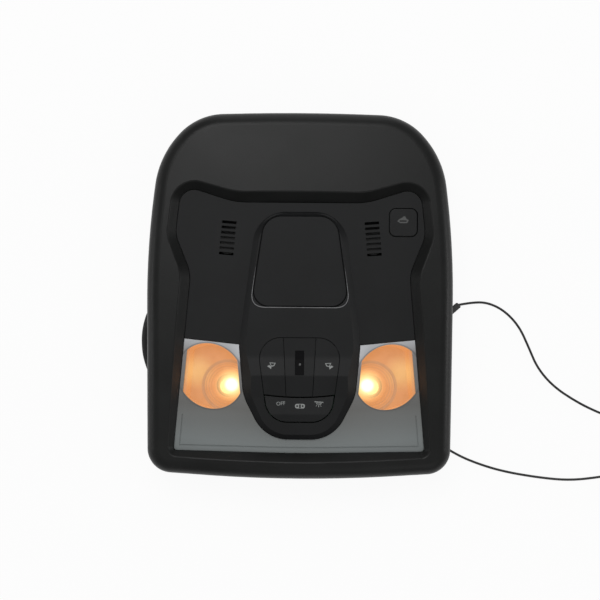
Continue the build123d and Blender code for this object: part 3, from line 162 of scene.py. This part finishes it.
# Boards, switches, pin header and bulb holders: green glass-fibre laminate with a lacquer sheen, and
# dark nylon bodies that are soldered or twisted into place.
board_green = moulded("board_lacquer", (0.02, 0.1, 0.045), 0.35, 0.002, 0.00001)
dress(board_green, "circuit_board", "roof_board")
nylon = moulded("nylon", (0.03, 0.03, 0.03), 0.42, 0.001, 0.00001)
dress(nylon, "header", "mode_switch", "left_switch", "right_switch", "roof_switch")
dress(nylon, "left_bulb_holder", "right_bulb_holder")
led_epoxy = moulded("led_epoxy", (0.75, 0.74, 0.66), 0.2, 0.0008, 0.000004, tint=0.05)
dress(led_epoxy, "sensor_led")

# Microphones behind the slot grilles: drawn aluminium cans with dark felt on the front, in soft rubber
# boots that are pushed into the panel's collars.
rubber = moulded("soft_rubber", (0.02, 0.02, 0.02), 0.8, 0.0006, 0.00002)
dress(rubber, "left_mic_boot", "right_mic_boot", "harness_grommets", "lower_grommet")


def axes(start):
    """The place of a point of a piece, as its x, y and z."""
    place = start.node("ShaderNodeTexCoord", {}, {}, output=3)
    return [start.node("ShaderNodeSeparateXYZ", {}, {"Vector": place}, output=axis) for axis in range(3)]


can, can_shader, can_start = new_finish("microphone_can", (0.5, 0.5, 0.5), 0.35)
can_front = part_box("left_microphone")[1].z
felt = axes(can_start)[2].ramp(can_front - 0.0002, can_front - 0.0001)
fibre = noise(can_start, 0.0004)
bare_can = fibre.blend((0.44, 0.44, 0.44), (0.55, 0.55, 0.55))
felt.blend(bare_can, (0.05, 0.05, 0.05)).feed(can_shader, "Base Color")
(1 - felt).feed(can_shader, "Metallic")
(felt * 0.5 + fibre * 0.1 + 0.3).feed(can_shader, "Roughness")
bumped(can_shader, fibre, 0.00001)
dress(can, "left_microphone", "right_microphone")

# Reflectors: silver-lacquered bowls with stepped rings under the lens's oval windows, standing on the
# housing floor. Their warm lamplight is painted on as a glow of their own, only under the windows, with
# a painted bright patch and painted shade on the ring steps.
bulb_middle = (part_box("right_bulb")[0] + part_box("right_bulb")[1]) / 2
ring_inner = 0.0096
ring_step = 0.0017
rings_start = (0.0102, 0.0115)
rings_end = (0.0158, 0.016)
last_ring_start = (0.0148, 0.0158)
last_ring_end = (0.0168, 0.0178)
window_middle = (0.0581, -0.0525)
window_long = 0.0226
window_short = 0.0201
window_tilt = math.radians(43)
outer_side_at, outer_side_lean = 0.0698, 0.094
inner_side_at, inner_side_lean = 0.0447, 0.096
bright_middle = (0.067, -0.05)
bright_fade = (0.001, 0.014)
painted_glow_near = (1.14, 0.4, 0.09)
painted_glow_far = (0.98, 0.31, 0.065)
painted_bright_patch = (1.35, 0.72, 0.2)
painted_ring_shade = (0.5, 0.24, 0.13)


def reach(across, upward):
    """How far away a place is that lies so far across and so far up."""
    squares = across * across + upward * upward
    return squares.maths("SQRT", squares)


def lamp_window(aside, y):
    """A window's oval, 1 on its edge, and how far a place lies outside its two straight sides."""
    across = aside - window_middle[0]
    upward = y - window_middle[1]
    along = (across * math.cos(window_tilt) + upward * math.sin(window_tilt)) / window_long
    beside = (upward * math.cos(window_tilt) - across * math.sin(window_tilt)) / window_short
    outer_side = aside + y * outer_side_lean - outer_side_at
    inner_side = inner_side_at + y * inner_side_lean - aside
    return reach(along, beside), outer_side.maths("MAXIMUM", outer_side, inner_side)


bowl, bowl_shader, bowl_start = new_finish(
    "reflector_lacquer_painted_glow", (0.18, 0.165, 0.15), 0.3, Emission_Strength=0.47
)
bowl_x, bowl_y = axes(bowl_start)[:2]
bowl_aside = bowl_x.maths("ABSOLUTE", bowl_x)
bowl_oval, bowl_sides = lamp_window(bowl_aside, bowl_y)
under_window = (1 - bowl_oval.ramp(1.02, 1.08)) * (1 - bowl_sides.ramp(0.0005, 0.001))
from_bulb = reach(bowl_aside - bulb_middle.x, bowl_y - bulb_middle.y)
ring_count = (from_bulb - ring_inner) / ring_step
stepped = ring_count.maths("FRACT", ring_count).ramp(0.35, 0.9)
stepped = stepped * from_bulb.ramp(*rings_start) * (1 - from_bulb.ramp(*rings_end))
last_ring = from_bulb.ramp(*last_ring_start) * (1 - from_bulb.ramp(*last_ring_end))
# Painted lamplight: hotter near the bulb, with a painted bright patch and painted shade on the ring
# steps.
lit = from_bulb.ramp(0.006, 0.026).blend(painted_glow_near, painted_glow_far)
from_bright = reach(bowl_aside - bright_middle[0], bowl_y - bright_middle[1])
lit = (1 - from_bright.ramp(*bright_fade)).blend(lit, painted_bright_patch)
lit = (last_ring * 0.7 + stepped * 0.5).blend(lit, painted_ring_shade)
# The painted light is given out as the bowls' own glow, only under the windows.
under_window.blend((0, 0, 0), lit).feed(bowl_shader, "Emission Color")
haze = noise(bowl_start, 0.006)
haze.ramp(0.3, 0.7).blend((0.16, 0.135, 0.11), (0.2, 0.17, 0.14)).feed(bowl_shader, "Base Color")
(haze * 0.15 + 0.25).feed(bowl_shader, "Roughness")
bumped(bowl_shader, noise(bowl_start, 0.0015), 0.00003)
dress(bowl, "left_reflector", "right_reflector")

# Bulbs: capless wedge bulbs of blown glass, lit and pushed into their holders. The envelope glows warm
# round the filament and dims towards its pinched base.
glow, glow_shader, glow_start = new_finish("lit_bulb_glass", (0.9, 0.8, 0.6), 0.1, Emission_Strength=4.0)
bulb_low, bulb_high = (corner.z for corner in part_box("left_bulb"))
bulb_rise = axes(glow_start)[2].ramp(bulb_low + 0.008, bulb_high - 0.004)
bulb_rise.blend((0.3, 0.09, 0.02), (1.0, 0.42, 0.16)).feed(glow_shader, "Emission Color")
bumped(glow_shader, noise(glow_start, 0.004), 0.00002)
dress(glow, "left_bulb", "right_bulb")

# Lens: one U-shaped acrylic moulding in the opening below the panel, frosted grey with painted lamplight
# pale at the top and a painted highlight in its inner top corners. Two oval windows are left clear over
# the lamps, with the bulb's glare and a warm tint painted on them.
window_alpha = 0.1
glare_middle = (0.0442, -0.058)
glare_fade = (0.0018, 0.0128)
glare_stops = [
    (0.0, (0.9, 0.4, 0.14)),
    (0.5, (1.0, 0.6, 0.2)),
    (0.8, (1.0, 0.8, 0.34)),
    (0.97, (1.1, 1.05, 0.95)),
]
panel_edge_lean = 0.103
frost_foot = 0.1
frost_height = 0.064
# Frost grey by height, darker in the middle; the pale top is painted lamplight shining through the
# plastic.
frost_and_lamplight_stops = [
    (0.0, (0.18, 0.2, 0.2)),
    (0.35, (0.115, 0.115, 0.108)),
    (0.85, (0.2, 0.192, 0.192)),
    (1.0, (0.5, 0.51, 0.53)),
]
# Painted highlight in the lens's inner top corners beside the tongue.
highlight_aside = (0.034, 0.05)
highlight_rise = (-0.052, -0.042)
lens, lens_shader, lens_start = new_finish("frosted_lens", (0.2, 0.2, 0.2), 0.4, Emission_Strength=1.0)
lens_x, lens_y = axes(lens_start)[:2]
aside = lens_x.maths("ABSOLUTE", lens_x)
oval, sides = lamp_window(aside, lens_y)
clear = (1 - oval.ramp(0.99, 1.01)) * (1 - sides.ramp(-0.0001, 0.0002))
rim = oval.ramp(0.985, 1.0) * (1 - oval.ramp(1.03, 1.06))
rise = lens_y - aside * panel_edge_lean
frost_place = (rise + frost_foot) / frost_height
frost = lens_start.node("ShaderNodeValToRGB", {"stops": frost_and_lamplight_stops}, {"Fac": frost_place})
painted_corner_highlight = (1 - aside.ramp(*highlight_aside)) * rise.ramp(*highlight_rise)
frosted = (rim * 0.5).blend(painted_corner_highlight.blend(frost, (0.66, 0.67, 0.7)), (0.05, 0.05, 0.052))
speckle = noise(lens_start, 0.0005)
frosted = (speckle * 0.12).blend(frosted, (0.3, 0.3, 0.3))
# The clear windows get a warm tint, painted for the lamplight seen through them.
clear.blend(frosted, (0.3, 0.21, 0.13)).feed(lens_shader, "Base Color")
# Painted glare of the bulb, a glow in the clear windows that also makes them less see-through there.
glare = 1 - reach(aside - glare_middle[0], lens_y - glare_middle[1]).ramp(*glare_fade)
painted_glare_light = lens_start.node("ShaderNodeValToRGB", {"stops": glare_stops}, {"Fac": glare})
clear.blend((0, 0, 0), painted_glare_light).feed(lens_shader, "Emission Color")
(1 - clear * (1 - window_alpha) * (1 - glare)).feed(lens_shader, "Alpha")
(0.42 - clear * 0.32 + speckle * 0.06).feed(lens_shader, "Roughness")
bumped(lens_shader, speckle * (1 - clear), 0.00003)
dress(lens, "lens")

# Face panel, blank cover and centre plate: black moulded plastic with a fine spark-eroded grain. The
# panel clips in the bezel's recess, and the cover and plate drop into the panel's tongue.
panel_plastic = moulded("panel_plastic", (0.0067, 0.0071, 0.0075), 0.5, 0.0007, 0.00003, shine=0.2)
dress(panel_plastic, "face_panel", "blank_cover", "centre_plate")

# Bead round the lower half of the blank cover: a hair-thin raised line on the tongue, painted pale and
# smooth as a highlight, that fades out up both sides.
bead_radius = 0.00028
bead_tip = 0.1
bead_growth = 0.45
bead_half = [(0.0125, -0.0075), (0.0324, -0.0075), (0.0299, 0.0123), (0.0289, 0.019)]
bead_route = [(-x, y) for x, y in reversed(bead_half)] + bead_half
# The bead's pale colour is a painted highlight.
bead_highlight_paint = moulded("painted_highlight_bead", (0.16, 0.16, 0.165), 0.3, 0.002, 0.000004)


def front_of(node, place):
    """The point on a solid's front at a place of the face, and which way the front faces there."""
    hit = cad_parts[node].ray_cast(
        Vector((*place, 1)), Vector((0, 0, -1)), depsgraph=bpy.context.evaluated_depsgraph_get()
    )
    return hit[1:3]


bead_line = bpy.data.curves.new("cover_bead", "CURVE")
bead_line.dimensions = "3D"
bead_line.bevel_depth = bead_radius
bead_line.bevel_resolution = 2
bead_spline = bead_line.splines.new("NURBS")
bead_spline.points.add(len(bead_route) - 1)
for number, (point, place) in enumerate(zip(bead_spline.points, bead_route)):
    point.co = (*front_of("face_panel", place)[0], 1)
    point.radius = min(1.0, bead_tip + bead_growth * min(number, len(bead_route) - 1 - number))
bead_spline.order_u = 3
bead_spline.use_endpoint_u = True
bead_line.materials.append(bead_highlight_paint)
bead = bpy.data.objects.new("cover_bead", bead_line)
bpy.context.scene.collection.objects.link(bead)
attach(bead, "console")

# Sensor window: an insert of smoked acrylic, moulded and pressed into the centre plate. A pale dot on
# it, a painted glint of the sensor's light, is laid with the symbols below.
smoked = moulded("smoked_window", (0.0025, 0.0025, 0.003), 0.5, 0.003, 0.000005, shine=0.06)
dress(smoked, "sensor_window")

# Keys, rocker and roof button: moulded in the panel's black, a little smoother from the touch. The keys
# and the rocker turn on moulded pins, and the button slides in the panel's aperture.
key_plastic = moulded("key_plastic", (0.0085, 0.0089, 0.0093), 0.46, 0.0006, 0.00002, shine=0.18)
dress(key_plastic, "left_key", "right_key", "mode_rocker", "roof_button")

# Symbols: pad-printed in light ink on the keys, the rocker and the roof button, each one an outline in
# millimetres from its middle. A lamp stands for reading light, a car for the doors, a dome for on.
ink_thickness = 0.00004
ink_lift = 0.4
pale_ink = moulded("pale_ink", (0.24, 0.25, 0.245), 0.55, 0.0004, 0.000004, tint=0.06)
dim_ink_and_glint = moulded("dim_ink_and_glint", (0.06, 0.062, 0.061), 0.55, 0.0004, 0.000004, tint=0.06)
lamp_head = [(-1.4, 2.0), (2.7, 1.7), (1.7, -0.35), (-0.25, -0.85)]
lamp_gap = [(-0.7, 1.5), (1.9, 1.3), (1.2, 0.1), (0.0, -0.1)]
lamp_rays = [(-2.85, -0.5), (-1.4, 0.3), (-0.1, -0.9), (-0.35, -2.4), (-1.15, -1.6)]
reading_lamp = [lamp_head, lamp_gap, lamp_rays]


def oblong(left, right, low, high, corner=0.0):
    """Corners of an upright oblong, with its corners rounded in steps."""
    points = []
    for centre_x, centre_y, first in (
        (right - corner, high - corner, 0),
        (left + corner, high - corner, 90),
        (left + corner, low + corner, 180),
        (right - corner, low + corner, 270),
    ):
        for step in range(5 if corner else 1):
            angle = math.radians(first + step * 22.5)
            points.append((centre_x + corner * math.cos(angle), centre_y + corner * math.sin(angle)))
    return points


door_car = [
    oblong(-3.2, 3.2, -1.5, 1.45, 1.2),
    oblong(-2.4, -1.2, -0.6, 0.6, 0.5),
    oblong(1.2, 2.4, -0.6, 0.6, 0.5),
    oblong(-0.55, 0.55, -1.2, 1.1),
]
dome_lamp = [
    oblong(-2.9, 2.9, 1.25, 1.8),
    [(-2.0, 0.95), (2.0, 0.95), (1.2, -0.15), (-1.2, -0.15)],
    [(-1.35, 0.65), (1.35, 0.65), (0.95, 0.15), (-0.95, 0.15)],
    oblong(-0.2, 0.2, -1.75, -0.55),
    [(-1.0, -0.45), (-1.35, -0.45), (-1.85, -1.4), (-1.5, -1.45)],
    [(1.0, -0.45), (1.35, -0.45), (1.85, -1.4), (1.5, -1.45)],
]
open_car = [
    [
        (-3.7, -0.9), (-2.3, 0.45), (-0.6, 1.3), (0.3, 2.2), (1.3, 2.3),
        (2.3, 0.7), (3.7, -0.15), (3.2, -1.6), (2.2, -2.2), (-1.9, -2.2),
    ],
    oblong(-2.2, 2.4, -1.3, -0.35, 0.3),
]
# The sensor's dot is a painted glint, in the dim ink of the roof symbol.
sensor_glint = [oblong(-0.75, 0.75, -0.75, 0.75, 0.7)]


def lay(name, outline, node, body, place, turn, ink):
    """Lays a flat outline on the front of a solid, turned in degrees, and lets it ride with the body."""
    outline.fill_mode = "BOTH"
    outline.extrude = ink_thickness / 2
    outline.materials.append(ink)
    mark = bpy.data.objects.new(name, outline)
    bpy.context.scene.collection.objects.link(mark)
    spot, normal = front_of(node, place)
    right = Matrix.Rotation(math.radians(turn), 3, "Z") @ Vector((1, 0, 0))
    right = (right - normal * right.dot(normal)).normalized()
    mark.matrix_world = Matrix((right, normal.cross(right), normal)).transposed().to_4x4()
    mark.matrix_world.translation = spot + normal * ink_thickness * ink_lift
    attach(mark, body)


for name, loops, mirror, node, body, place, turn, ink, slot in (
    (
        "left_lamp_symbol", reading_lamp, 1, "left_key", "left_key",
        (-0.0181, -0.0452), 0, pale_ink, "key_plastic",
    ),
    (
        "right_lamp_symbol", reading_lamp, -1, "right_key", "right_key",
        (0.0192, -0.0452), 0, pale_ink, "key_plastic",
    ),
    (
        "door_symbol", door_car, 1, "mode_rocker", "rocker",
        (0.0005, -0.0714), 0, pale_ink, "key_plastic",
    ),
    (
        "dome_symbol", dome_lamp, 1, "mode_rocker", "rocker",
        (0.0127, -0.0702), -4, pale_ink, "key_plastic",
    ),
    (
        "roof_symbol", open_car, 1, "roof_button", "button",
        (0.0666, 0.0501), 0, dim_ink_and_glint, "key_plastic",
    ),
    (
        "sensor_glint", sensor_glint, 1, "sensor_window", "console",
        (0.0003, -0.0444), 0, dim_ink_and_glint, "window_plastic",
    ),
):
    print_outline = bpy.data.curves.new(name, "CURVE")
    print_outline.dimensions = "2D"
    for loop in loops:
        edge = print_outline.splines.new("POLY")
        edge.points.add(len(loop) - 1)
        for corner, (x, y) in zip(edge.points, loop):
            corner.co = (mirror * x / 1000, y / 1000, 0, 1)
        edge.use_cyclic_u = True
    lay(name, print_outline, node, body, place, turn, ink)
off_word = bpy.data.curves.new("off_word", "FONT")
off_word.body = "OFF"
off_word.size = 0.0034
off_word.align_x = "CENTER"
off_word.align_y = "CENTER"
lay("off_word", off_word, "mode_rocker", "rocker", (-0.0119, -0.0699), 5, pale_ink)

# Bezel: the black outer trim, with a domed front and a soft leather-like grain. It takes the panel,
# the lens and the housing from behind, and springs into the roof on its clips.
bezel_plastic = moulded("bezel_plastic", (0.0066, 0.007, 0.0068), 0.4, 0.0009, 0.00003, shine=0.22)
dress(bezel_plastic, "bezel")

# Screws and clips: zinc-plated pan heads that hold the housing and its cover, and plated strips of
# spring steel, folded and pushed onto the bezel's back.
steel = moulded("plated_steel", (0.4, 0.4, 0.4), 0.36, 0.0004, 0.000004, tint=0.1)
steel.node_tree.nodes["Principled BSDF"].inputs["Metallic"].default_value = 1.0
dress(steel, "housing_screws", "roof_clips", "cover_screws")

# Harness: a bundle of wires wound in black cloth tape, bent out at the left between two grommets of
# the rear cover.
tape, tape_shader, tape_start = new_finish("cloth_tape", (0.012, 0.012, 0.012), 0.8)
weave = noise(tape_start, 0.0006, detail=1.0)
weave.ramp(0.3, 0.7).blend((0.008, 0.008, 0.008), (0.018, 0.018, 0.018)).feed(tape_shader, "Base Color")
bumped(tape_shader, weave, 0.0001)
dress(tape, "harness")

# Plug, ties and end terminals: moulded nylon, dark for the plug and the ties and ivory for the
# terminals, which sit on the two leads.
dress(nylon, "lead_plug")
ivory = moulded("ivory_nylon", (0.62, 0.6, 0.54), 0.45, 0.0008, 0.00001, tint=0.06)
dress(ivory, "upper_terminal", "lower_terminal")
dress(nylon, "upper_tie", "lower_tie")

# Leads: two thin black insulated wires that lie on the table and end in a small tied coil each, with
# a terminal on the end.
wire_diameter = 0.0016
coil_radius = 0.0088
coil_turns = 2.25
coil_bottom = 0.0017
steps_a_turn = 16
tail_reach = (0.008, 0.014)
tail_height = 0.002075
wire, wire_shader, wire_start = new_finish("wire_insulation", (0.009, 0.009, 0.009), 0.42)
scuff = noise(wire_start, 0.002)
(scuff * 0.2 + 0.32).feed(wire_shader, "Roughness")
scuffed = scuff.ramp(0.35, 0.65).blend((0.007, 0.007, 0.007), (0.013, 0.013, 0.013))
scuffed.feed(wire_shader, "Base Color")
bumped(wire_shader, scuff, 0.00002)

upper_route = [
    (0.105, -0.0052, 0.0067),
    (0.1155, -0.0032, 0.0032),
    (0.126, -0.0034, 0.0009),
    (0.137, -0.0086, 0.0009),
    (0.147, -0.019, 0.0009),
    (0.1535, -0.033, 0.0009),
    (0.1595, -0.047, 0.0009),
    (0.1705, -0.0595, 0.0009),
    (0.186, -0.0695, 0.0009),
    (0.1985, -0.0756, 0.0009),
    (0.21, -0.08, 0.0009),
]
lower_route = [
    (0.0735, -0.091, 0.006),
    (0.0845, -0.091, 0.006),
    (0.094, -0.0978, 0.0032),
    (0.1045, -0.1048, 0.001),
    (0.1175, -0.1106, 0.0009),
    (0.136, -0.1163, 0.0009),
    (0.16, -0.1203, 0.0009),
    (0.1815, -0.1222, 0.0009),
    (0.202, -0.1198, 0.0009),
    (0.213, -0.1174, 0.0009),
]


def wound(route, side):
    """Points of the coil that follows a route, wound to its left (1) or right (-1), and of its tail."""
    entry, before = Vector(route[-1]), Vector(route[-2])
    heading = (entry - before).normalized()
    heading.z = 0
    heading.normalize()
    centre = entry + Matrix.Rotation(side * math.pi / 2, 3, "Z") @ heading * coil_radius
    points = []
    steps = round(coil_turns * steps_a_turn)
    for step in range(1, steps + 1):
        turned = Matrix.Rotation(side * 2 * math.pi * coil_turns * step / steps, 3, "Z")
        place = centre + turned @ (entry - centre)
        points.append((place.x, place.y, coil_bottom + wire_diameter * coil_turns * step / steps))
    away = turned @ heading
    last = Vector(points[-1])
    for onward in tail_reach:
        points.append((last.x + away.x * onward, last.y + away.y * onward, tail_height))
    return points


for hand, route, side, exit_point, length, on_it in (
    (
        "upper", upper_route, 1, (0.106, -0.0049, 0.0067), 0.28,
        ["lead_plug", "upper_tie", "upper_terminal"],
    ),
    (
        "lower", lower_route, -1, (0.0789, -0.091, 0.006), 0.285,
        ["lower_grommet", "lower_tie", "lower_terminal"],
    ),
):
    line = bpy.data.curves.new(f"{hand}_wire", "CURVE")
    line.dimensions = "3D"
    line.bevel_depth = wire_diameter / 2
    line.bevel_resolution = 4
    line.use_fill_caps = True
    line.resolution_u = 8
    spline = line.splines.new("NURBS")
    points = route + wound(route, side)
    spline.points.add(len(points) - 1)
    for point, place in zip(spline.points, points):
        point.co = (*place, 1)
    spline.order_u = 3
    spline.use_endpoint_u = True
    line.materials.append(wire)
    lead = bpy.data.objects.new(f"{hand}_wire", line)
    bpy.context.scene.collection.objects.link(lead)
    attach(lead, "console")
    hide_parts(f"{hand}_lead", f"{hand}_coil", f"{hand}_tail")

# Table: a plain sheet of paper that the part lies on. It shows white to the camera and in what
# mirrors it, and keeps a faint soft shadow.
table_half = 3.0
paper_glow = 0.93
table_mesh = bpy.data.meshes.new("table")
table_corners = [(x * table_half, y * table_half, 0) for x, y in ((-1, -1), (1, -1), (1, 1), (-1, 1))]
table_mesh.from_pydata(table_corners, [], [(0, 1, 2, 3)])
table = bpy.data.objects.new("table", table_mesh)
bpy.context.scene.collection.objects.link(table)
paper, paper_shader, paper_start = new_finish("table_paper", (0.85, 0.85, 0.85), 0.9)
seen, shine, through = (
    paper_start.node("ShaderNodeLightPath", {}, {}, output=ray)
    for ray in ("Is Camera Ray", "Is Glossy Ray", "Is Transmission Ray")
)
paper_white = paper_start.node("ShaderNodeEmission", {}, {"Strength": 1.0})
white_share = through.maths("MAXIMUM", through, seen.maths("MAXIMUM", seen, shine)) * paper_glow
paper_mix = seen.node("ShaderNodeMixShader", {}, {0: white_share, 2: paper_white})
paper.node_tree.links.new(paper_shader.outputs[0], paper_mix.socket.node.inputs[1])
paper_mix.feed(paper.node_tree.nodes["Material Output"], "Surface")
table_mesh.materials.append(paper)

# Light: a bright studio room with one soft lamp over the windscreen end, a weak one opposite and low
# ones behind and beside the part.
room = bpy.data.worlds.new("studio")
bpy.context.scene.world = room
room.use_nodes = True
room_light = room.node_tree.nodes["Background"]
room_light.inputs["Color"].default_value = (1, 1, 1, 1)
room_light.inputs["Strength"].default_value = 0.43
for name, place, size, power in (
    ("main_lamp", (-0.16, 0.62, 1.5), 0.8, 9.0),
    ("fill_lamp", (0.5, -1.2, 1.4), 1.0, 2.4),
    ("window_lamp", (0.0, 1.6, 0.35), 0.8, 2.0),
    ("left_lamp", (-1.6, 0.0, 0.4), 0.5, 2.6),
    ("right_lamp", (1.6, 0.0, 0.4), 0.5, 4.0),
):
    lamp = bpy.data.lights.new(name, "AREA")
    lamp.size = size
    lamp.energy = power
    lamp_object = bpy.data.objects.new(name, lamp)
    lamp_object.location = place
    lamp_object.rotation_euler = (-Vector(place)).to_track_quat("-Z", "Y").to_euler()
    bpy.context.scene.collection.objects.link(lamp_object)

# Camera: a long lens straight above the face, a little over a metre away and turned by less than half
# a degree.
camera_height = 1.228
camera_turn = math.radians(0.44)
camera_data = bpy.data.cameras.new("camera")
camera_data.lens = 109.8
camera = bpy.data.objects.new("camera", camera_data)
camera.location = (0, -0.0026, camera_height)
camera.rotation_euler.z = camera_turn
bpy.context.scene.collection.objects.link(camera)
bpy.context.scene.camera = camera
bpy.context.scene.view_settings.view_transform = "Standard"
